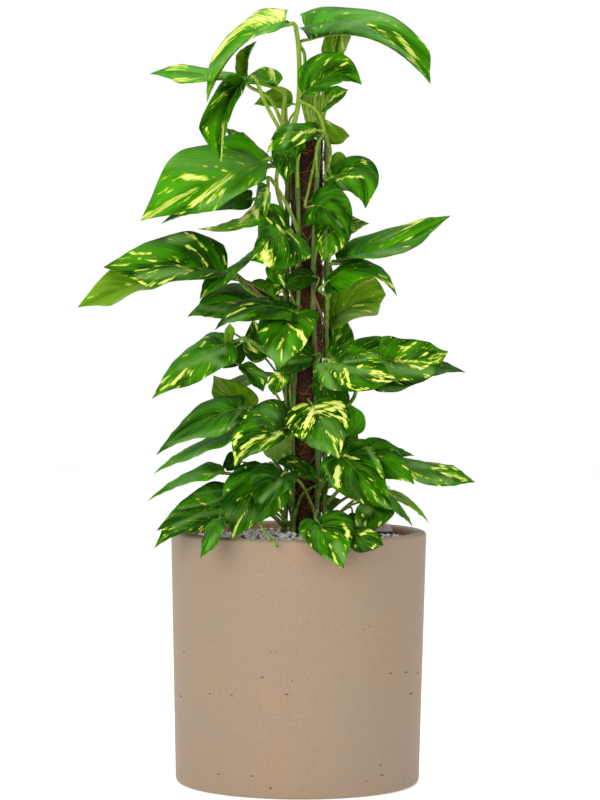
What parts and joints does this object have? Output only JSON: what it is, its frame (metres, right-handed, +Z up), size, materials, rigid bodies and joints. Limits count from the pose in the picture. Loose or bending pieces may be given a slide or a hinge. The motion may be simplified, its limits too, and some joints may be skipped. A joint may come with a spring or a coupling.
{
  "type": "potted climbing plant",
  "caption": "Golden pothos climbing a coir pole in a round sand-coloured planter with mineral granulate and a water gauge.",
  "frame": {"origin": "middle of the planter's underside, on the floor", "axes": "+Z up, front towards -Y, +X to the right as seen from the front"},
  "size_m": [0.6222, 0.4209, 1.2141],
  "materials": {
    "planter": "matt cast fibre stone",
    "granulate": "loose mineral pebbles",
    "pole_core": "raw",
    "coir": "coarse coconut fibre",
    "leaf": "waxy living leaf",
    "gauge_dark": "satin",
    "gauge_clear": "clear",
    "gauge_marker": "satin"
  },
  "bodies": {
    "root": {"planter": "planter", "granulate": "granulate", "pole_core": "pole_core", "coir_wrap": "coir", "vine_left": "leaf", "vine_front_left": "leaf", "vine_front_right": "leaf", "vine_right": "leaf", "vine_back_right": "leaf", "vine_back_left": "leaf", "gauge_collar": "gauge_dark", "gauge_sleeve": "gauge_clear", "gauge_rod": "gauge_marker", "gauge_cap": "gauge_dark"}
  },
  "joints": []
}
